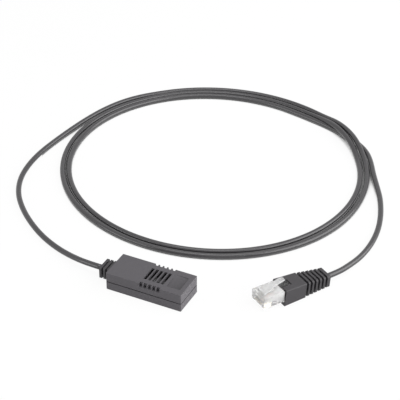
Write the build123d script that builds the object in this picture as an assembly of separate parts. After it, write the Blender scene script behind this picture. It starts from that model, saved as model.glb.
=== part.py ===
from build123d import *
import math
import os

# Rack temperature sensor, in millimetres: a vented two-part case on a thin round cable.
# The case lies on its base with the origin under its middle, the cable leaves it at -X,
# lies in a loose coil behind it and ends in a clear eight-way modular plug with a ribbed boot.

# Case
case_length = 46.4
case_width = 20.0
case_height = 11.3
parting_height = 5.4
wall = 1.4
shadow_gap = 0.6
corner_radius = 0.5
inner_radius = 0.5
base_radius = 0.6
top_bevel = 0.2
lip_height = 1.1
fit = 0.1

# Vents across the top cover: a slot in the roof and a notch in each long edge for every column
vent_count = 5
vent_pitch = 2.65
vent_first = -1.4
vent_width = 1.95
vent_length = 10.7
vent_corner = 0.6
notch_depth = 1.5
notch_height = 2.5
baffle_gap = 0.3
baffle_thickness = 0.8
baffle_drop = 2.6
baffle_margin = 1.2

# Scoop in the roof at its free end: flush at one corner, it falls along the case and across it
scoop_length = 8.2
scoop_width = 11.5
scoop_end_gap = 2.8
scoop_fall_along = 0.3
scoop_fall_across = 0.5
scoop_corner = 1.2

# Circuit board on four pinned posts
board_thickness = 1.0
board_cable_gap = 9.6
board_end_gap = 1.0
board_side_gap = 1.1
board_height = 3.2
post_radius = 1.3
post_inset = 2.2
pin_radius = 0.5
pin_proud = 0.3
hold_down_bore = 0.75

# Surface-mounted parts on the board
chip_length = 4.9
chip_width = 3.9
chip_height = 1.4
chip_standoff = 0.15
chip_lead_pitch = 1.27
chip_lead_width = 0.42
chip_lead_thickness = 0.22
chip_lead_reach = 0.55
chip_leads_a_side = 4
passive_length = 2.0
passive_width = 1.25
passive_cap = 0.4
passive_step = 0.06
capacitor_height = 1.0
resistor_height = 0.6
passive_offset_x = 6.0
passive_offset_y = 3.2

# Wires from the strain relief to the board
wire_colours = ("red", "black", "white", "green")
wire_diameter = 0.9
wire_relief_pitch = 1.3
wire_post_gap = 0.45
wire_straight = 3.2
wire_slope = 3.6
wire_on_board = 3.7
wire_lie = 0.05

# Strain relief moulded on the cable, clamped between the two covers
relief_height = 5.5
neck_width = 6.4
neck_height = 5.2
relief_block_thickness = 1.1
relief_block_width = 8.8
relief_block_height = 7.0
collar_thickness = 2.3
collar_width = 9.8
collar_height = 7.2
plate_width = 9.9
plate_height = 7.1
inner_plate_thickness = 1.4
outer_plate_thickness = 1.5
relief_groove = 1.0
plate_corner = 0.6

# Cable and its coil: the turns lie beside each other and cross once
cable_diameter = 3.3
coil_centre = (-23.8, 126.0)
coil_radius = 87.0
coil_stretch = 9.2
strand_pitch = 4.4
coil_edge = 0.9
crossing_angle = 47.0
crossing_radius = 92.0
crossing_half_length = 24.0

# Plug: its own axis runs from the tip to the rear, and the latch is on top
plug_tip = (59.05, 12.1)
plug_turn = 57.6
plug_length = 21.46
plug_width = 11.68
plug_top = 9.65
plug_nose_height = 6.7
plug_rear_height = 8.05
plug_step = 13.7
plug_chamfer = 0.5
wire_channel_start = 2.6
wire_channel_width = 8.6
wire_channel_height = 1.1
wire_channel_floor = 5.85
cable_cavity_start = 9.0
cable_cavity_width = 8.8
cable_cavity_height = 5.2
cable_cavity_floor = 3.3
clamp_pocket_start = 14.6
clamp_pocket_length = 2.6
clamp_pocket_width = 7.0
jacket_end = 12.0
jacket_height = 5.3
contact_count = 8
contact_pitch = 1.02
contact_thickness = 0.35
contact_start = 0.45
contact_length = 5.4
contact_sink = 0.4
contact_nose = 0.9
contact_fit = 0.07
core_wire_diameter = 0.8
core_wire_pitch = 0.85
core_wire_bend = 1.4
core_wire_first_contact = 2
core_wire_colours = ("brown", "orange", "blue", "yellow")

# Latch of the plug, free to hinge down at its root
latch_root = 2.2
latch_barrel_radius = 0.45
latch_width = 6.0
latch_tail_width = 3.25
latch_shoulder = 6.2
latch_length = 14.6
latch_thickness = 1.0
latch_lift = 0.1
latch_angle = 15.0
latch_tip_round = 0.5

# Boot over the rear of the plug: a tapered box, then ribs round a conical core
boot_front = 13.2
boot_lean = 0.9
boot_box_end = 27.6
boot_end = 44.4
boot_front_width = 13.5
boot_front_height = 10.3
boot_box_width = 12.3
boot_box_height = 9.6
boot_rear_width = 9.9
boot_rear_height = 7.3
boot_corner = 0.7
boot_core_front = 4.0
boot_core_rear = 2.9
boot_slot_width = 4.8
boot_slot_length = 6.2
boot_slot_floor = 0.6
rib_count = 5
rib_thickness = 1.25
rib_corner = 1.3
end_plate_thickness = 2.0

# Routes of the two free stretches of cable, chosen by eye along the lying cable
sensor_lead_points = [
    (-41.0, 0.0, 5.5), (-53.0, 3.6, 3.6), (-66.0, 8.8, 1.9), (-79.5, 15.0, 1.68),
    (-93.0, 23.8, 1.66), (-105.6, 34.4, 1.66), (-116.6, 46.8, 1.66), (-124.3, 61.6, 1.66),
    (-128.0, 77.5, 1.66), (-128.8, 93.5, 1.66), (-127.4, 109.5, 1.66), (-125.0, 125.5, 1.66),
    (-120.6, 141.0, 1.66), (-112.0, 153.5, 1.66),
]
plug_lead_points = [
    (90.2, 66.2, 2.7), (92.9, 78.4, 1.75), (93.9, 92.5, 1.66), (92.4, 108.0, 1.66),
    (88.2, 123.6, 1.66), (82.2, 138.6, 1.66), (74.6, 153.0, 1.66), (64.6, 167.4, 1.66),
    (50.0, 177.5, 1.66),
]
plug_lead_first_run = 9.0

# Worked-out sizes that several pieces share
cable_radius = cable_diameter / 2
lip_top = parting_height + lip_height
roof_underside = case_height - wall
board_top = board_height + board_thickness
board_length = case_length - 2 * wall - board_cable_gap - board_end_gap
board_width = case_width - 2 * wall - 2 * board_side_gap
wire_lane = board_width / 2 - post_inset - post_radius - wire_post_gap
wire_board_pitch = (2 * wire_lane - wire_diameter) / (len(wire_colours) - 1)
board_middle = case_length / 2 - wall - board_end_gap - board_length / 2
vent_places = [vent_first + i * vent_pitch for i in range(vent_count)]
post_places = [
    (board_middle + sx * (board_length / 2 - post_inset), sy * (board_width / 2 - post_inset))
    for sx in (-1, 1)
    for sy in (-1, 1)
]
case_end = -case_length / 2
relief_inner_face = case_end + wall + relief_block_thickness + fit
inner_plate_face = case_end - collar_thickness - relief_groove
outer_plate_face = inner_plate_face - inner_plate_thickness - relief_groove
relief_end = outer_plate_face - outer_plate_thickness
plug_place = Location((plug_tip[0], plug_tip[1], 0), (0, 0, plug_turn))
plug_nose_bottom = plug_top - plug_nose_height
plug_rear_bottom = plug_top - plug_rear_height
contact_places = [(i - (contact_count - 1) / 2) * contact_pitch for i in range(contact_count)]
boot_cavity_end = plug_length + fit


def slab(length, width, radius, bottom, top):
    """An upright block with rounded corners between two heights, centred on the origin."""
    return Pos(0, 0, bottom) * extrude(RectangleRounded(length, width, radius), top - bottom)


def block(x_range, y_range, z_range):
    """A plain block between three pairs of limits."""
    size = [high - low for low, high in (x_range, y_range, z_range)]
    middle = [(high + low) / 2 for low, high in (x_range, y_range, z_range)]
    return Pos(*middle) * Box(*size)


def section_at(x, height, tilt=0.0):
    """A sketch plane across the X axis, with its own X along +Y and its own Y upwards."""
    lean = math.radians(tilt)
    return Plane((x, 0, height), x_dir=(0, 1, 0), z_dir=(math.cos(lean), 0, -math.sin(lean)))


def cross_plate(x, thickness, width, height, middle, corner, tilt=0.0):
    """A plate across the X axis that reaches from x towards +X."""
    return extrude(section_at(x, middle, tilt) * RectangleRounded(width, height, corner), thickness)


def route_radii(points):
    """The largest arc each corner of a route leaves room for."""
    radii = []
    for before, corner, after in zip(points, points[1:], points[2:]):
        arriving = Vector(*corner) - Vector(*before)
        leaving = Vector(*after) - Vector(*corner)
        shorter = min(arriving.length, leaving.length)
        half_turn = math.radians(arriving.get_angle(leaving)) / 2
        radii.append(0.45 * shorter / math.tan(half_turn))
    return radii


def round_run(points, diameter):
    """A round solid along straight runs joined by tangent arcs."""
    path = FilletPolyline(*points, radius=route_radii(points))
    start = Plane(path @ 0, z_dir=path % 0)
    return sweep(start * Circle(diameter / 2), path=path), path.length


def relief_opening():
    """The passage through the end wall for the neck of the strain relief."""
    width = neck_width + 2 * fit
    height = neck_height + 2 * fit
    return cross_plate(case_end - wall, 3 * wall, width, height, relief_height, inner_radius)


def make_top_cover():
    """Vented upper half: a shell with roof slots, edge notches, baffles, a scoop and hold-down tubes."""
    cover = slab(case_length, case_width, corner_radius, parting_height + shadow_gap / 2, case_height)
    cover = chamfer(cover.edges().group_by(Axis.Z)[-1], top_bevel)
    hollow_length = case_length - 2 * wall
    hollow_width = case_width - 2 * wall
    cover -= slab(hollow_length, hollow_width, inner_radius, 0, roof_underside)
    cover -= slab(case_length - wall, case_width - wall, inner_radius, 0, lip_top)
    baffle_reach = vent_width / 2 + baffle_margin
    for side in (-1, 1):
        face = side * (case_width / 2 - wall - baffle_gap)
        back = face - side * baffle_thickness
        cover += block(
            (vent_places[0] - baffle_reach, vent_places[-1] + baffle_reach),
            (min(face, back), max(face, back)),
            (roof_underside - baffle_drop, roof_underside),
        )
        notch_back = side * (case_width / 2 - notch_depth)
        edge = side * case_width
        for x in vent_places:
            cover -= block(
                (x - vent_width / 2, x + vent_width / 2),
                (min(notch_back, edge), max(notch_back, edge)),
                (case_height - notch_height, case_height + wall),
            )
    roof_slot = RectangleRounded(vent_width, vent_length, vent_corner)
    for x in vent_places:
        cover -= Pos(x, 0, roof_underside - wall) * extrude(roof_slot, 3 * wall)
    scoop_start = case_length / 2 - scoop_end_gap - scoop_length
    flush_corner = Pos(scoop_start, scoop_width / 2, case_height)
    slope_across = math.degrees(math.asin(scoop_fall_across / scoop_width))
    slope_along = math.degrees(math.asin(scoop_fall_along / scoop_length))
    scoop = RectangleRounded(scoop_length, scoop_width, scoop_corner)
    scoop = extrude(Pos(scoop_length / 2, -scoop_width / 2) * scoop, wall)
    cover -= flush_corner * Rot(slope_across, slope_along, 0) * scoop
    for x, y in post_places:
        tube_bottom = board_top + fit
        tube = Circle(post_radius) - Circle(hold_down_bore)
        cover += Pos(x, y, tube_bottom) * extrude(tube, roof_underside - tube_bottom)
    return cover - relief_opening()


def make_bottom_cover():
    """Lower half: a tray with a locating lip, four board posts and their pins."""
    cover = slab(case_length, case_width, corner_radius, 0, parting_height - shadow_gap / 2)
    cover = fillet(cover.edges().group_by(Axis.Z)[0], base_radius)
    lip_length = case_length - wall - 2 * fit
    lip_width = case_width - wall - 2 * fit
    cover += slab(lip_length, lip_width, inner_radius, wall, lip_top)
    cover -= slab(case_length - 2 * wall, case_width - 2 * wall, inner_radius, wall, case_height)
    for x, y in post_places:
        cover += Pos(x, y, wall) * extrude(Circle(post_radius), board_height - wall)
        cover += Pos(x, y, wall) * extrude(Circle(pin_radius), board_top + pin_proud - wall)
    return cover - relief_opening()


def make_circuit_board():
    """The board, with holes for the four pins."""
    holes = Sketch() + [Pos(x, y) * Circle(pin_radius + fit) for x, y in post_places]
    outline = Pos(board_middle, 0) * RectangleRounded(board_length, board_width, inner_radius)
    return Pos(0, 0, board_height) * extrude(outline - holes, board_thickness)


def make_temperature_chip():
    """Eight-lead surface-mounted chip under the middle roof slot."""
    middle = vent_places[vent_count // 2]
    body_bottom = board_top + chip_standoff
    body_top = body_bottom + chip_height
    chip = Pos(middle, 0, 0) * slab(chip_length, chip_width, inner_radius / 2, body_bottom, body_top)
    shoulder = body_bottom + chip_height / 2
    out = chip_width / 2 + chip_lead_reach
    for side in (-1, 1):
        for i in range(chip_leads_a_side):
            x = middle + (i - (chip_leads_a_side - 1) / 2) * chip_lead_pitch
            width = (x - chip_lead_width / 2, x + chip_lead_width / 2)
            knee = out + chip_lead_thickness
            toe = out + chip_lead_reach
            arm = sorted((side * chip_width / 2, side * knee))
            leg = sorted((side * out, side * knee))
            foot = sorted((side * out, side * toe))
            chip += block(width, arm, (shoulder, shoulder + chip_lead_thickness))
            chip += block(width, leg, (board_top, shoulder + chip_lead_thickness))
            chip += block(width, foot, (board_top, board_top + chip_lead_thickness))
    return chip


def make_passive(height, x, y):
    """Small two-ended part: a body between two slightly larger end caps."""
    body_length = passive_length - 2 * passive_cap
    body = Box(body_length, passive_width - 2 * passive_step, height - 2 * passive_step)
    cap_place = (passive_length - passive_cap) / 2
    caps = [Pos(side * cap_place, 0, 0) * Box(passive_cap, passive_width, height) for side in (-1, 1)]
    return Pos(x, y, board_top + height / 2) * (body + caps)


def make_board_wire(index):
    """One wire from the strain relief down to its pad on the board."""
    place = index - (len(wire_colours) - 1) / 2
    leave_y = place * wire_relief_pitch
    land_y = place * wire_board_pitch
    land_z = board_top + wire_diameter / 2 + wire_lie
    first = relief_inner_face + wire_straight
    second = first + wire_slope
    points = [
        (relief_inner_face, leave_y, relief_height),
        (first, leave_y, relief_height),
        (second, land_y, land_z),
        (second + wire_on_board, land_y, land_z),
    ]
    return round_run(points, wire_diameter)[0]


def make_strain_relief():
    """Ribbed relief: a block inside the case, a neck through its wall and plates outside."""
    core_length = relief_inner_face - relief_end
    relief = cross_plate(relief_end, core_length, neck_width, neck_height, relief_height, inner_radius)
    inside = relief_inner_face - relief_block_thickness
    collar = case_end - collar_thickness
    inner_plate = inner_plate_face - inner_plate_thickness
    plates = (
        (inside, relief_block_thickness, relief_block_width, relief_block_height, inner_radius),
        (collar, collar_thickness - fit, collar_width, collar_height, inner_radius),
        (inner_plate, inner_plate_thickness, plate_width, plate_height, plate_corner),
        (relief_end, outer_plate_thickness, plate_width, plate_height, plate_corner),
    )
    for x, thickness, width, height, corner in plates:
        relief += cross_plate(x, thickness, width, height, relief_height, corner)
    return relief


def make_cable_coil():
    """Outer shape of the coil: two turns all round, three along the far side, and the crossing."""
    inner = SlotCenterToCenter(coil_stretch, 2 * (coil_radius - cable_radius))
    outer_radius = coil_radius + 1.5 * strand_pitch + cable_radius
    outer = SlotCenterToCenter(coil_stretch - strand_pitch, 2 * outer_radius)
    ring = extrude(Pos(0, strand_pitch / 2) * outer - inner, cable_diameter)
    ring = chamfer(ring.edges().filter_by(GeomType.CIRCLE) + ring.edges().filter_by(Axis.X), coil_edge)
    hump_height = 2 * cable_diameter
    rise = ThreePointArc((-crossing_half_length, 0), (0, hump_height), (crossing_half_length, 0))
    profile = make_face([rise, Line(rise @ 1, rise @ 0)])
    spindle = revolve(profile, Axis.X)
    spindle &= block(
        (-crossing_half_length, crossing_half_length),
        (-hump_height, hump_height),
        (0, hump_height),
    )
    turned = math.radians(crossing_angle)
    place = Pos(crossing_radius * math.cos(turned), crossing_radius * math.sin(turned), 0)
    hump = place * Rot(0, 0, crossing_angle - 90) * spindle
    return Pos(coil_centre[0], coil_centre[1], 0) * (ring + hump)


def make_plug_body():
    """Clear plug: contact slits in the nose, a wire channel, the cable cavity and the latch seat."""
    half = plug_width / 2
    body = block((0, plug_length), (-half, half), (plug_nose_bottom, plug_top))
    body += block((plug_step, plug_length), (-half, half), (plug_rear_bottom, plug_nose_bottom))
    front_edges = body.edges().group_by(Axis.X)[0].filter_by(Axis.Y)
    body = chamfer(front_edges, plug_chamfer)
    cavity_half = cable_cavity_width / 2
    cavity_top = cable_cavity_floor + cable_cavity_height
    body -= block(
        (cable_cavity_start, plug_length + wall),
        (-cavity_half, cavity_half),
        (cable_cavity_floor, cavity_top),
    )
    body -= block(
        (wire_channel_start, cable_cavity_start + wall),
        (-wire_channel_width / 2, wire_channel_width / 2),
        (wire_channel_floor, wire_channel_floor + wire_channel_height),
    )
    body -= block(
        (clamp_pocket_start, clamp_pocket_start + clamp_pocket_length),
        (-clamp_pocket_width / 2, clamp_pocket_width / 2),
        (plug_rear_bottom - wall, cable_cavity_floor),
    )
    slit = contact_thickness / 2 + contact_fit
    slit_end = contact_start + contact_length + contact_fit
    for y in contact_places:
        body -= block((-wall, slit_end), (y - slit, y + slit), (0, wire_channel_floor))
    seat_length = latch_width + 2 * fit
    seat = extrude(Circle(latch_barrel_radius + fit), seat_length / 2, both=True)
    body -= Pos(latch_root, 0, plug_top) * Rot(90, 0, 0) * seat
    return body


def make_plug_contact(y):
    """Thin gold blade standing in its slit, with a rounded nose."""
    blade = block(
        (contact_start, contact_start + contact_length),
        (y - contact_thickness / 2, y + contact_thickness / 2),
        (plug_nose_bottom + contact_sink, wire_channel_floor),
    )
    nose = blade.edges().filter_by(Axis.Y).group_by(Axis.X)[0]
    return fillet(nose.sort_by(Axis.Z)[0], contact_nose)


def make_core_wire(index):
    """One insulated conductor from the end of the jacket to its contact."""
    place = index - (len(core_wire_colours) - 1) / 2
    start = (jacket_end, place * core_wire_pitch, jacket_height)
    height = wire_channel_floor + core_wire_diameter / 2 + wire_lie
    y = contact_places[core_wire_first_contact + index]
    points = [
        start,
        (jacket_end - core_wire_bend, start[1], jacket_height),
        (jacket_end - 2 * core_wire_bend, y, height),
        (wire_channel_start + fit, y, height),
    ]
    return round_run(points, core_wire_diameter)[0]


def make_plug_latch():
    """Spring latch: a barrel at the root, a wide shouldered plate and a narrow tail."""
    half = latch_width / 2
    tail = latch_tail_width / 2
    plate = block((0, latch_shoulder), (-half, half), (latch_lift, latch_lift + latch_thickness))
    plate += block((0, latch_length), (-tail, tail), (latch_lift, latch_lift + latch_thickness))
    tip = plate.faces().sort_by(Axis.X)[-1].edges().filter_by(Axis.Z)
    plate = fillet(tip, latch_tip_round)
    barrel = Rot(90, 0, 0) * extrude(Circle(latch_barrel_radius), half, both=True)
    return Pos(latch_root, 0, plug_top) * Rot(0, -latch_angle, 0) * (plate + barrel)


def make_plug_boot():
    """Moulded boot: a leaning box with a latch slot, then ribs round a cone and an end plate."""
    lean = math.degrees(math.atan2(boot_lean, boot_front_height))
    front_plane = section_at(boot_front + boot_lean / 2, boot_front_height / 2, lean)
    front_length = math.hypot(boot_front_height, boot_lean)
    front = front_plane * RectangleRounded(boot_front_width, front_length, boot_corner)
    rear_plane = section_at(boot_box_end, boot_box_height / 2, lean)
    rear = rear_plane * RectangleRounded(boot_box_width, boot_box_height, boot_corner)
    boot = loft([front, rear], ruled=True)
    core_front = section_at(boot_box_end, boot_box_height / 2) * Circle(boot_core_front)
    core_rear = section_at(boot_end, boot_rear_height / 2) * Circle(boot_core_rear)
    boot += loft([core_front, core_rear], ruled=True)
    ribbed_length = boot_end - end_plate_thickness - boot_box_end
    groove = (ribbed_length - rib_count * rib_thickness) / (rib_count + 1)
    starts = [boot_box_end + groove + i * (groove + rib_thickness) for i in range(rib_count)]
    plates = [(start, rib_thickness) for start in starts]
    plates.append((boot_end - end_plate_thickness, end_plate_thickness))
    for start, thickness in plates:
        share = (start - boot_box_end) / (boot_end - boot_box_end)
        width = boot_box_width + share * (boot_rear_width - boot_box_width)
        height = boot_box_height + share * (boot_rear_height - boot_box_height)
        middle = height / 2 + thickness * math.sin(math.radians(lean))
        boot += cross_plate(start, thickness, width, height, middle, rib_corner, lean)
    half = plug_width / 2 + fit
    boot -= block((0, boot_cavity_end), (-half, half), (plug_rear_bottom - fit, plug_top + fit))
    slot_half = boot_slot_width / 2
    slot_end = boot_front + boot_lean + boot_slot_length
    boot -= block((0, slot_end), (-slot_half, slot_half), (plug_top - boot_slot_floor, case_height))
    return boot


def make_jacket_end():
    """Stripped end of the cable, between the boot and the plug's wires."""
    section = section_at(jacket_end, jacket_height) * Circle(cable_radius)
    return extrude(section, boot_cavity_end - jacket_end)


def plug_point(x, height):
    """A point on the plug's own axis, in the frame of the whole part."""
    place = plug_place * Pos(x, 0, height)
    return tuple(place.position)


def make_leads():
    """The two free stretches of cable, each from its fitting to the coil."""
    rear_height = boot_rear_height / 2
    plug_exit = plug_point(boot_end, rear_height)
    plug_straight = plug_point(boot_end + plug_lead_first_run, rear_height)
    routes = {
        "cable_sensor_lead": [(relief_end, 0, relief_height)] + sensor_lead_points,
        "cable_plug_lead": [plug_exit, plug_straight] + plug_lead_points,
    }
    leads = {}
    for name, points in routes.items():
        leads[name], length = round_run(points, cable_diameter)
        expected = math.pi * cable_radius**2 * length
        print(name, "length", round(length, 1), "radii", [round(r, 1) for r in route_radii(points)])
        print(name, "volume over section times length", round(leads[name].volume / expected, 4))
    return leads


def make_nodes():
    """Every piece of the sensor by name."""
    middle = vent_places[vent_count // 2]
    nodes = {
        "top_cover": make_top_cover(),
        "bottom_cover": make_bottom_cover(),
        "circuit_board": make_circuit_board(),
        "temperature_chip": make_temperature_chip(),
        "bypass_capacitor": make_passive(capacitor_height, middle + passive_offset_x, passive_offset_y),
        "pull_up_resistor": make_passive(resistor_height, middle - passive_offset_x, -passive_offset_y),
        "strain_relief": make_strain_relief(),
        "cable_coil": make_cable_coil(),
        "plug_body": plug_place * make_plug_body(),
        "plug_latch": plug_place * make_plug_latch(),
        "plug_boot": plug_place * make_plug_boot(),
        "cable_jacket_end": plug_place * make_jacket_end(),
    }
    nodes.update(make_leads())
    for i, colour in enumerate(wire_colours):
        nodes[f"board_wire_{colour}"] = make_board_wire(i)
    for i, y in enumerate(contact_places):
        nodes[f"plug_contact_{i + 1}"] = plug_place * make_plug_contact(y)
    for i, colour in enumerate(core_wire_colours):
        nodes[f"plug_wire_{colour}"] = plug_place * make_core_wire(i)
    return nodes


os.makedirs("parts", exist_ok=True)
for name, solid in make_nodes().items():
    export_step(solid, f"parts/{name}.step")
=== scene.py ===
# %% [markdown]
# # A rack temperature sensor
# A small vented case measures the air in an equipment rack. A thin cable leaves it, lies in a loose coil
# and ends in a clear modular plug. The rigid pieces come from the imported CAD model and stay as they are.
# This file lays the cable as one smooth curve, gives every piece its finish and sets up the photograph's
# view.

# %% Load the frame
import math

import bpy
import numpy as np
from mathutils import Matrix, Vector


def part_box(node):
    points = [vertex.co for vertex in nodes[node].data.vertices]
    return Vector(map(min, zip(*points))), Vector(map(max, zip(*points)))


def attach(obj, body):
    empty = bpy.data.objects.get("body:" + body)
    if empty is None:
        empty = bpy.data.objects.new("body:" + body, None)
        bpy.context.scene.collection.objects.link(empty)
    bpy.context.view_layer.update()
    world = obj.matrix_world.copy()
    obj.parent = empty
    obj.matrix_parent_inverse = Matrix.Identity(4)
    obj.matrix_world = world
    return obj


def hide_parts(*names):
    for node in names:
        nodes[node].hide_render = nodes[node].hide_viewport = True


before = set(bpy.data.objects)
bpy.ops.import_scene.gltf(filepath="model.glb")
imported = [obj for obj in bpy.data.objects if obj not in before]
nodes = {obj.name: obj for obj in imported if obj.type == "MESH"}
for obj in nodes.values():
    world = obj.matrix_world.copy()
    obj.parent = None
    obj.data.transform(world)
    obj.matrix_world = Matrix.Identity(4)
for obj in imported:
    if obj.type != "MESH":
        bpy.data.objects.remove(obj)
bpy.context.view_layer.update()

scene = bpy.context.scene
scene.view_settings.view_transform = "Standard"
MM = 0.001

# %% [markdown]
# The camera stands to the right of the case's free end and looks down on the middle of the coil. It could
# be placed by eye. An azimuth, an elevation and a distance say the same in the three numbers that a
# photographer would use, and the long lens keeps the plug and the far side of the coil at nearly one scale.

# %% Camera
view_azimuth = 26.46
view_elevation = 34.2
view_distance = 900 * MM
view_target = Vector((-15.86 * MM, 91.87 * MM, 0))
sensor_width = 36.0
lens = 134.23


def towards(azimuth, elevation):
    """Unit vector at an angle round from -Y towards +X and an angle above the horizon, both in degrees."""
    a = math.radians(azimuth)
    e = math.radians(elevation)
    return Vector((math.sin(a) * math.cos(e), -math.cos(a) * math.cos(e), math.sin(e)))


camera_data = bpy.data.cameras.new("camera")
camera_data.lens = lens
camera_data.sensor_width = sensor_width
camera = bpy.data.objects.new("camera", camera_data)
camera.location = view_target + view_distance * towards(view_azimuth, view_elevation)
camera.rotation_euler = (-towards(view_azimuth, view_elevation)).to_track_quat("-Z", "Y").to_euler()
scene.collection.objects.link(camera)
scene.camera = camera
print("camera at", [round(x, 3) for x in camera.location])

# %% [markdown]
# The cable is a fixed length of something springy, so its line has no corners. The free stretches follow the
# points of the CAD route until they turn into the coil. A quadratic NURBS spline rounds them into one smooth
# line, which touches the middle of each run of the polygon.

# %% Routes of the two free stretches
cable_diameter = 3.3 * MM
cable_radius = cable_diameter / 2
lie = 1.66
sensor_lead = [
    (-30.4, 0.0, 5.5), (-41.0, 0.0, 5.5), (-53.0, 3.6, 3.6), (-66.0, 8.8, 1.9), (-79.5, 15.0, 1.68),
    (-93.0, 23.8, lie), (-105.6, 34.4, lie), (-116.6, 46.8, lie), (-124.3, 61.6, lie),
    (-128.0, 77.5, lie), (-128.8, 93.5, lie), (-127.4, 109.5, lie), (-125.4, 125.5, lie),
    (-123.0, 140.0, lie), (-119.5, 154.5, lie), (-114.3, 168.2, lie), (-106.8, 180.4, lie),
]
crossing_lead = [
    (20.0, 203.6, lie), (33.5, 198.2, lie), (45.2, 193.0, lie), (55.4, 184.9, lie),
    (62.2, 174.8, lie), (68.3, 162.8, lie),
]
plug_lead = [
    (76.0, 149.6, lie), (82.2, 138.6, lie), (88.2, 123.6, lie), (92.4, 108.0, lie), (93.9, 92.5, lie),
    (92.9, 78.4, 1.75), (90.2, 66.2, 2.7), (87.66, 57.19, 3.65), (82.84, 49.59, 3.65),
]
print("points on the free stretches", len(sensor_lead), len(crossing_lead) + len(plug_lead))

# %% [markdown]
# The coil is a flat clock spring. Seen from above, the cable runs clockwise, and in each turn it moves one
# lane inwards along a stretch at the far right. The last stretch of the inmost lane passes straight out
# under the other two there, so those two rise over it in a long low hump. A crowding or swell below is the
# angle of its middle, its half-width in degrees and its push in millimetres. A hump is an angle and a turn.

# %% Turns of the coil
coil_centre = np.array([-23.8, 126.0])
first_angle = 138.0
last_angle = -640.0
angle_step = 8.0
step_zone = (70.0, -2.0)
inmost_radius = 88.9
inmost_shift = -0.85
inmost_oval = (2.2, -1.1)
strand_pitch = 4.3
pitch_wave = 0.4
crowding = ((15.0, 35.0, 0.8), (40.0, 22.0, 0.6))
swell = (18.0, 28.0, 0.35)
hump_places = ((47.5, 0), (50.5, 1))
hump_half_width = 20.0
hump_height = 3.5
hump_flatness = 1.35
spline_steps = 6


def ease(t):
    """Smooth step: 3t^2 - 2t^3 between 0 and 1, level at both ends."""
    t = np.clip(t, 0, 1)
    return t * t * (3 - 2 * t)


def coil_points():
    """Radius = inmost lane + lanes times their pitch; lanes fall by one over each pass of the step zone.
    A slow wave in both, once and twice round, makes the coil as loose as the one in the photograph.
    Next to the crossing the inmost lane crowds outwards, and the pitch narrows by as much and swells a
    little.
    Height = the lie plus a smooth-step hump, flat on top, at each crossing."""
    count = round((first_angle - last_angle) / angle_step) + 1
    angle = np.linspace(first_angle, last_angle, count)
    start, end = step_zone
    lanes = 2 - sum(ease((start - 360 * turn - angle) / (start - end)) for turn in range(2))
    bend = np.radians(angle)

    def bulge(spot, reach, push):
        return push * sum(ease(1 - np.abs(angle - spot + 360 * turn) / reach) for turn in range(2))

    crowd = bulge(*crowding[0]) + bulge(*crowding[1])
    oval = inmost_oval[0] * np.cos(2 * bend) + inmost_oval[1] * np.sin(2 * bend)
    inmost = inmost_radius + inmost_shift * np.sin(bend) + oval + crowd
    pitch = strand_pitch + pitch_wave * np.cos(bend) - crowd + bulge(*swell)
    radius = inmost + lanes * pitch
    height = np.full(count, lie)
    for place, turn in hump_places:
        away = np.abs(angle - (place - 360 * turn)) / hump_half_width
        height = height + hump_height * ease(hump_flatness * (1 - away))
    x = coil_centre[0] + radius * np.cos(bend)
    y = coil_centre[1] + radius * np.sin(bend)
    return np.stack([x, y, height], 1)


def spline_line(points):
    """Points along an open quadratic NURBS spline with those control points, in metres."""
    curve = bpy.data.curves.new("line", "CURVE")
    curve.dimensions = "3D"
    curve.resolution_u = spline_steps
    spline = curve.splines.new("NURBS")
    spline.points.add(len(points) - 1)
    weighted = np.concatenate([np.asarray(points) * MM, np.ones((len(points), 1))], 1)
    spline.points.foreach_set("co", weighted.ravel())
    spline.order_u = 3
    spline.use_endpoint_u = True
    carrier = bpy.data.objects.new("line", curve)
    scene.collection.objects.link(carrier)
    drawn = bpy.data.meshes.new_from_object(carrier)
    flat = np.empty(3 * len(drawn.vertices))
    drawn.vertices.foreach_get("co", flat)
    bpy.data.objects.remove(carrier)
    bpy.data.meshes.remove(drawn)
    return flat.reshape(-1, 3)


turns = coil_points()
route = np.concatenate([sensor_lead, turns, crossing_lead, plug_lead])
line = spline_line(route)
runs = np.linalg.norm(np.diff(line, axis=0), axis=1)
print("control points of the cable", len(route), "length in metres", round(runs.sum(), 3))

# %% [markdown]
# A tube is a circle carried along that line. At each point the circle lies in the plane across the line,
# spanned by a level direction and one square to it. The UV map runs along the cable and round it, in metres.


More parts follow.
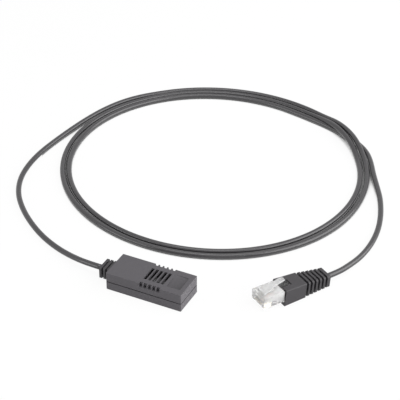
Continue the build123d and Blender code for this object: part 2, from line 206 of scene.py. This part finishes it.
# %% Cable tube
def tube(name, line, radius, sides):
    """Surface: line(s) + radius (cos a side(s) + sin a lift(s)), with side level and across the line,
    and lift = side x tangent, so that the faces point outwards. Both ends are closed by one face."""
    tangent = np.gradient(line, axis=0)
    tangent /= np.linalg.norm(tangent, axis=1)[:, None]
    side = np.cross(tangent, (0, 0, 1))
    side /= np.linalg.norm(side, axis=1)[:, None]
    lift = np.cross(side, tangent)
    angle = np.linspace(0, 2 * np.pi, sides, endpoint=False)
    ring = np.cos(angle)[None, :, None] * side[:, None] + np.sin(angle)[None, :, None] * lift[:, None]
    points = (line[:, None] + radius * ring).reshape(-1, 3)
    row, column = np.meshgrid(np.arange(len(line) - 1), np.arange(sides), indexing="ij")
    after = (column + 1) % sides
    quads = np.stack([row * sides + column, row * sides + after,
                      (row + 1) * sides + after, (row + 1) * sides + column], -1).reshape(-1, 4)
    caps = [list(range(sides))[::-1], list(range(len(points) - sides, len(points)))]
    mesh = bpy.data.meshes.new(name)
    mesh.from_pydata(points.tolist(), [], quads.tolist() + caps)
    mesh.polygons.foreach_set("use_smooth", np.r_[np.ones(len(quads), bool), False, False])
    place = np.stack([row, row, row + 1, row + 1], -1).reshape(-1)
    turn = np.stack([column, column + 1, column + 1, column], -1).reshape(-1)
    distance = np.concatenate([[0], np.cumsum(np.linalg.norm(np.diff(line, axis=0), axis=1))])
    uv = np.stack([distance[place], turn * (2 * np.pi * radius / sides)], 1)
    layer = mesh.uv_layers.new(name="along_and_round")
    layer.data.foreach_set("uv", np.concatenate([uv, np.zeros((2 * sides, 2))]).ravel())
    piece = bpy.data.objects.new(name, mesh)
    scene.collection.objects.link(piece)
    return piece


cable_sides = 20
cable = tube("cable", line, cable_radius, cable_sides)
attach(cable, "sensor")
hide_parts("cable_sensor_lead", "cable_coil", "cable_plug_lead")
print("faces of the cable", len(cable.data.polygons))

# %% [markdown]
# What hangs on the cable is CAD: the ribbed relief at the case, and the plug with its boot. The whole cable
# is in the photograph from end to end, so its length is the length of this line.

# %% Count the pieces on the cable
plug_pieces = ["plug_boot", "plug_body", "plug_latch", "cable_jacket_end"]
plug_pieces += sorted(n for n in nodes if n.startswith("plug_contact") or n.startswith("plug_wire"))
print("pieces on the cable", 1 + len(plug_pieces))

# %% [markdown]
# Finishes are node trees. Written as sums and products they can be read like formulas, so one small class
# wraps a socket and turns an operator into a Math node. Every other node comes from one method.


# %% Shader maths as expressions
class Field:
    """A socket of a shader tree. An operator between fields, or a field and a number, adds a Math node."""

    def __init__(self, sheet, socket):
        self.sheet = sheet
        self.socket = socket

    def math(self, operation, first, second):
        return self.sheet.node("ShaderNodeMath", {"operation": operation}, {0: first, 1: second})

    def __add__(self, other):
        return self.math("ADD", self, other)

    def __radd__(self, other):
        return self.math("ADD", other, self)

    def __sub__(self, other):
        return self.math("SUBTRACT", self, other)

    def __rsub__(self, other):
        return self.math("SUBTRACT", other, self)

    def __mul__(self, other):
        return self.math("MULTIPLY", self, other)

    def __rmul__(self, other):
        return self.math("MULTIPLY", other, self)

    def __gt__(self, other):
        return self.math("GREATER_THAN", self, other)

    def __lt__(self, other):
        return self.math("LESS_THAN", self, other)

    def __abs__(self):
        return self.math("ABSOLUTE", self, 0.0)


class Sheet:
    """One material's node tree."""

    def __init__(self, name):
        self.material = bpy.data.materials.new(name)
        self.material.use_nodes = True
        self.tree = self.material.node_tree
        self.tree.nodes.clear()

    def node(self, kind, settings=None, inputs=None, output=0):
        """Add a node: its settings first, then a value or a link for each named socket."""
        made = self.tree.nodes.new(kind)
        for key, value in (settings or {}).items():
            setattr(made, key, value)
        for key, value in (inputs or {}).items():
            if isinstance(value, Field):
                self.tree.links.new(value.socket, made.inputs[key])
            else:
                made.inputs[key].default_value = value
        return Field(self, made.outputs[output]) if made.outputs else None

    def place(self):
        """Object coordinates, in metres."""
        return self.node("ShaderNodeTexCoord", output="Object")

    def axes(self):
        """The x, y and z of Object coordinates as three fields."""
        split = self.node("ShaderNodeSeparateXYZ", inputs={"Vector": self.place()})
        return [Field(self, output) for output in split.socket.node.outputs]

    def noise(self, size, detail=2.0, place=None):
        """Cloudy noise whose features are about that size, in metres."""
        inputs = {"Vector": place or self.place(), "Scale": 1 / size, "Detail": detail}
        return self.node("ShaderNodeTexNoise", inputs=inputs, output="Fac")

    def blend(self, factor, first, second):
        """Mix two colours by a field."""
        return self.node("ShaderNodeMix", {"data_type": "RGBA"}, {0: factor, 6: first, 7: second}, output=2)

    def surface(self, inputs):
        """A Principled surface with those sockets, joined to the output."""
        shader = self.node("ShaderNodeBsdfPrincipled", inputs=inputs)
        self.node_output(shader)
        return self.material

    def node_output(self, shader):
        self.node("ShaderNodeOutputMaterial", inputs={"Surface": shader})


def paint(names, material):
    """Give CAD nodes or new pieces that finish."""
    for name in names:
        data = bpy.data.objects[name].data
        data.materials.clear()
        data.materials.append(material)
    print(material.name, "on", len(names), "pieces")


# %% [markdown]
# The case, the boot and the relief are moulded plastics. Up close a moulding is never one flat colour: the
# mould's fine spark texture breaks up the highlight, and the resin is a little cloudy. The bevel node rounds
# the normals at every edge, as a mould's edges are rounded, so that edges catch the light. Two patches of the
# case are painted light: painted shade in the roof's scoop, darker towards its deep corner, and a paler
# painted light in speckles on the free end, like a grain that catches a grazing lamp.


# %% Moulded plastics
def moulded(name, dark, light, rough, grain, grain_depth, edge, cloud=6 * MM, shine=0.5, patches=()):
    """Colour = a cloud between two tones; roughness = rough plus a little grain; normal = grain on round
    edges. Each patch is a field and the tone that the colour turns to where that field is 1."""
    sheet = Sheet(name)
    place = sheet.place()
    fine = sheet.noise(grain, 3.0, place)
    clouds = sheet.noise(cloud, 4.0, place)
    rounded = sheet.node("ShaderNodeBevel", {"samples": 6}, {"Radius": edge})
    bump = sheet.node(
        "ShaderNodeBump",
        inputs={"Strength": 1.0, "Distance": grain_depth, "Height": fine, "Normal": rounded},
    )
    tone = sheet.blend(0.75 * clouds + 0.25 * fine, (*dark, 1), (*light, 1))
    for patch, patch_tone in patches:
        tone = sheet.blend(patch(sheet), tone, (*patch_tone, 1))
    return sheet.surface({
        "Base Color": tone,
        "Roughness": rough + 0.12 * (fine - 0.5),
        "Specular IOR Level": shine,
        "Normal": bump,
    })


scoop_start = 12.2 * MM
scoop_length = 8.2 * MM
scoop_width = 11.5 * MM
below_scoop = 10.2 * MM


def scoop_painted_shade(sheet):
    """Painted shade: nothing outside the roof's scoop; inside it, darker more towards its deep corner, which
    is at the free end and the front."""
    x, y, z = sheet.axes()
    along = (x - scoop_start) * (1 / scoop_length)
    across = 0.5 - y * (1 / scoop_width)
    inside = (abs(along - 0.5) < 0.5) * (abs(across - 0.5) < 0.5) * (z > below_scoop)
    return inside * (0.4 * along + 0.4 * across)


case_end = 23.15 * MM
speckle_size = 0.9 * MM


def end_painted_light(sheet):
    """Painted light: nothing but on the face of the free end, which is painted paler in speckles, like a
    grain catching the grazing lamp.
    """
    x = sheet.axes()[0]
    return (x > case_end) * (0.4 + 1.6 * (sheet.noise(speckle_size) - 0.5))


# The first patch is painted shade: the scoop's colour darkens towards its deep corner.
case_plastic = moulded(
    "case_plastic", (0.066, 0.062, 0.069), (0.084, 0.079, 0.087),
    rough=0.72, grain=0.5 * MM, grain_depth=0.03 * MM, edge=0.08 * MM, cloud=1.5 * MM,
    # The second patch is painted light: a paler tone in speckles on the free end's face.
    patches=((scoop_painted_shade, (0.033, 0.031, 0.034)), (end_painted_light, (0.165, 0.157, 0.170))))
boot_plastic = moulded(
    "boot_plastic", (0.026, 0.024, 0.027), (0.036, 0.033, 0.037),
    rough=0.55, grain=0.3 * MM, grain_depth=0.008 * MM, edge=0.1 * MM)
jacket_plastic = moulded(
    "jacket_plastic", (0.020, 0.0185, 0.021), (0.030, 0.028, 0.031),
    rough=0.28, grain=0.5 * MM, grain_depth=0.005 * MM, edge=0.05 * MM, shine=0.7)
paint(["top_cover", "bottom_cover"], case_plastic)
paint(["plug_boot", "strain_relief"], boot_plastic)
paint(["cable", "cable_jacket_end"], jacket_plastic)

# %% [markdown]
# The plug is clear polycarbonate, so it shows what is inside it. Clear resin alone looks like a dark block of
# glass at this size, and milky resin alone hides the wires. A Mix Shader joins the two: the haze grows from
# the nose towards the boot and from the base towards the top, and stops inside the boot. The latch is hazy
# all over. The index of refraction is lower than real resin has, which keeps the plug bright.

# %% Clear plug
plug_tip = (59.05 * MM, 12.1 * MM)
plug_turn = math.radians(57.6)
boot_front = 13.4 * MM
plug_low = 2.95 * MM
plug_height = 6.7 * MM
haze_size = 1.5 * MM
plug_edge = 0.2 * MM
plug_index = 1.2


def clear_plastic(name, milk_tone, milk_at_nose, milk_at_boot, milk_behind):
    """Clear resin mixed with a milky one. The share of milk grows with the square of the distance from the
    nose up to the boot's face, thins towards the plug's base, has one value behind that face, and varies a
    little with the haze."""
    sheet = Sheet(name)
    haze = sheet.noise(haze_size, 3.0)
    rounded = sheet.node("ShaderNodeBevel", {"samples": 6}, {"Radius": plug_edge})
    clear = sheet.node("ShaderNodeBsdfPrincipled", inputs={
        "Base Color": sheet.blend(haze, (0.95, 0.95, 0.95, 1), (0.99, 0.99, 0.985, 1)),
        "Roughness": 0.03 + 0.08 * haze,
        "IOR": plug_index,
        "Transmission Weight": 0.97,
        "Normal": rounded,
    })
    milk = sheet.node("ShaderNodeBsdfPrincipled", inputs={
        "Base Color": sheet.blend(haze, (*[0.9 * milk_tone] * 3, 1), (*[milk_tone] * 3, 1)),
        "Roughness": 0.2 + 0.2 * haze,
        "Normal": rounded,
    })
    x, y, z = sheet.axes()
    along = (x - plug_tip[0]) * math.cos(plug_turn) + (y - plug_tip[1]) * math.sin(plug_turn)
    far = along * (1 / boot_front)
    front_share = milk_at_nose + (milk_at_boot - milk_at_nose) * far * far + 0.2 * (haze - 0.5)
    in_front = along < boot_front
    level = (z - plug_low) * (1 / plug_height)
    share = in_front * front_share * (0.3 + 0.7 * level) + (1 - in_front) * milk_behind
    sheet.node_output(sheet.node("ShaderNodeMixShader", inputs={0: share, 1: clear, 2: milk}))
    return sheet.material


body_plastic = clear_plastic(
    "clear_plastic", milk_tone=0.97, milk_at_nose=0.35, milk_at_boot=0.65, milk_behind=0.0)
latch_plastic = clear_plastic(
    "frosted_plastic", milk_tone=0.72, milk_at_nose=0.45, milk_at_boot=0.45, milk_behind=0.45)
paint(["plug_body"], body_plastic)
paint(["plug_latch"], latch_plastic)

# %% [markdown]
# The blades in the nose are plated copper alloy. The wires are thin coloured plastic, each in its own tone.


# %% Contacts and wires
def plated_metal():
    """Gold plating: warm metal whose roughness varies with fine scratches."""
    sheet = Sheet("contact_gold")
    scratches = sheet.noise(0.15 * MM, 4.0)
    return sheet.surface({
        "Base Color": sheet.blend(scratches, (0.88, 0.80, 0.64, 1), (0.95, 0.89, 0.76, 1)),
        "Roughness": 0.18 + 0.2 * scratches,
        "Metallic": 1.0,
    })


def wire_plastic(name, tone):
    """Wire insulation: its tone, a little darker in clouds, with a soft sheen."""
    sheet = Sheet(name)
    clouds = sheet.noise(0.8 * MM, 3.0)
    shade = tuple(0.75 * c for c in tone)
    return sheet.surface({
        "Base Color": sheet.blend(clouds, (*shade, 1), (*tone, 1)),
        "Roughness": 0.4 + 0.1 * clouds,
    })


wire_tones = {
    "red": (0.55, 0.05, 0.04),
    "black": (0.03, 0.03, 0.03),
    "white": (0.8, 0.8, 0.77),
    "green": (0.06, 0.3, 0.1),
    "blue": (0.42, 0.50, 0.66),
    "orange": (0.80, 0.50, 0.34),
    "brown": (0.46, 0.27, 0.22),
    "yellow": (0.85, 0.76, 0.42),
}
paint(sorted(n for n in nodes if n.startswith("plug_contact")), plated_metal())
for tone_name, tone in wire_tones.items():
    wires = [n for n in nodes if n.endswith("_wire_" + tone_name)]
    paint(wires, wire_plastic("wire_" + tone_name, tone))

# %% [markdown]
# Inside the case sits a small circuit board. Little of it shows through the vents, and it still gets its
# solder mask, the metal feet of the chip and the tinned ends of the small parts.

# %% Board and its parts
track_half_pitch = 0.65 * MM
track_half_width = 0.16 * MM


def solder_mask():
    """Grey lacquer, paler in stripes where copper tracks run beneath it."""
    sheet = Sheet("solder_mask")
    across = sheet.axes()[1]
    wave = sheet.node("ShaderNodeMath", {"operation": "PINGPONG"}, {0: across, 1: track_half_pitch})
    tracks = wave < track_half_width
    cloud = sheet.noise(3 * MM)
    tone = 0.6 * tracks + 0.4 * cloud
    return sheet.surface({
        "Base Color": sheet.blend(tone, (0.20, 0.20, 0.205, 1), (0.30, 0.30, 0.305, 1)),
        "Roughness": 0.3 + 0.15 * cloud,
    })


def tinned_part(name, body_tone, centre, half_body, axis):
    """Body colour near the centre, tinned metal further out than half the body along one axis."""
    sheet = Sheet(name)
    away = abs(sheet.axes()[axis] - centre[axis])
    metal = away > half_body
    grain = sheet.noise(0.3 * MM)
    return sheet.surface({
        "Base Color": sheet.blend(metal, (*body_tone, 1), (0.72, 0.71, 0.68, 1)),
        "Metallic": metal,
        "Roughness": 0.35 + 0.2 * grain,
    })


def middle_of(name):
    """The middle of a CAD node's box."""
    low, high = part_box(name)
    return (low + high) / 2


chip_half_width = 1.98 * MM
cap_inner_edge = 0.6 * MM
paint(["circuit_board"], solder_mask())
paint(["temperature_chip"], tinned_part(
    "chip_epoxy", (0.02, 0.02, 0.022), middle_of("temperature_chip"), chip_half_width, 1))
paint(["bypass_capacitor"], tinned_part(
    "capacitor_ceramic", (0.4, 0.27, 0.16), middle_of("bypass_capacitor"), cap_inner_edge, 0))
paint(["pull_up_resistor"], tinned_part(
    "resistor_glaze", (0.03, 0.03, 0.035), middle_of("pull_up_resistor"), cap_inner_edge, 0))

# %% [markdown]
# The photograph's background is pure white. The floor and the world look white to the camera, in reflections
# and through the clear plug, and to other rays they give plain soft light. The floor keeps part of its
# shadow, and in the narrow gaps between the strands of the coil it gets painted shade: its colour and glow
# turn dark there, as in a gap that little light reaches.

# %% Floor and world
gap_reach = 7 * MM
gap_dark = 0.3
gap_open = 0.55
coil_band_radius = 94 * MM
coil_band_half = 15 * MM
glow_share = 0.92


def seen_directly(sheet, to_camera=1.0):
    """1 for glossy and transmission rays, to_camera for camera rays, 0 for the rays that only carry light."""
    rays = sheet.node("ShaderNodeLightPath").socket.node.outputs
    camera_ray = Field(sheet, rays["Is Camera Ray"])
    glossy_ray = Field(sheet, rays["Is Glossy Ray"])
    through_ray = Field(sheet, rays["Is Transmission Ray"])
    looked_at = camera_ray * to_camera + glossy_ray + through_ray
    return sheet.node("ShaderNodeMath", {"operation": "MINIMUM"}, {0: looked_at, 1: 1.0})


def white_floor():
    """Matte white, mixed with a plain white glow where it is looked at, so that its shadow stays faint.
    In a ring under the coil, painted shade: the glow and the white fall where the ambient occlusion finds a
    tight gap."""
    sheet = Sheet("white_floor")
    glow = sheet.node("ShaderNodeEmission", inputs={"Color": (1, 1, 1, 1), "Strength": 1.0})
    open_sky = sheet.node("ShaderNodeAmbientOcclusion", {"samples": 8}, {"Distance": gap_reach}, output="AO")
    tight = 1 - sheet.node("ShaderNodeMapRange", inputs={0: open_sky, 1: gap_dark, 2: gap_open})
    away = sheet.node("ShaderNodeVectorMath", {"operation": "DISTANCE"},
                      {0: sheet.place(), 1: (*(coil_centre * MM), 0)}, output="Value")
    open_floor = 1 - tight * (abs(away - coil_band_radius) < coil_band_half)
    # Painted shade: in a tight gap the floor's colour falls to dark grey and its glow to nothing.
    tone = sheet.blend(open_floor, (0.15, 0.15, 0.15, 1), (0.9, 0.9, 0.9, 1))
    matte = sheet.node("ShaderNodeBsdfDiffuse", inputs={"Color": tone})
    share = glow_share * seen_directly(sheet, open_floor)
    both = sheet.node("ShaderNodeMixShader", inputs={0: share, 1: matte, 2: glow})
    sheet.node_output(both)
    return sheet.material


floor_half = 3.0
corners = [(x * floor_half, y * floor_half, 0) for x, y in ((-1, -1), (1, -1), (1, 1), (-1, 1))]
floor_mesh = bpy.data.meshes.new("floor")
floor_mesh.from_pydata(corners, [], [(0, 1, 2, 3)])
floor = bpy.data.objects.new("floor", floor_mesh)
scene.collection.objects.link(floor)
floor_mesh.materials.append(white_floor())


class WorldSheet(Sheet):
    """The world's node tree, written in the same way."""

    def __init__(self, name):
        world = bpy.data.worlds.new(name)
        world.use_nodes = True
        scene.world = world
        self.tree = world.node_tree
        self.tree.nodes.clear()


studio = WorldSheet("studio")
room_light = 0.4
strength = room_light + (1 - room_light) * seen_directly(studio)
background = studio.node("ShaderNodeBackground", inputs={"Color": (1, 1, 1, 1), "Strength": strength})
studio.node("ShaderNodeOutputWorld", inputs={"Surface": background})
print("world light", room_light)

# %% [markdown]
# Three soft boxes light the object. One overhead draws a bright line along the strands. The largest stands
# low on the right, where it makes the free end the case's brightest side. It is that large so that the cable
# doesn't glare when it is seen from the left. A weak one from the front left lights the plug's nose.


# %% Lamps
def soft_box(name, azimuth, elevation, distance, size, power):
    """A square area lamp that looks at the object's middle."""
    lamp = bpy.data.lights.new(name, "AREA")
    lamp.size = size
    lamp.energy = power
    box = bpy.data.objects.new(name, lamp)
    away = towards(azimuth, elevation)
    box.location = view_target + distance * away
    box.rotation_euler = away.to_track_quat("Z", "Y").to_euler()
    scene.collection.objects.link(box)


soft_box("overhead", azimuth=10, elevation=85, distance=1.1, size=0.7, power=4.0)
soft_box("right", azimuth=98, elevation=18, distance=1.1, size=1.8, power=29.0)
soft_box("left", azimuth=-40, elevation=15, distance=1.2, size=0.7, power=3.6)
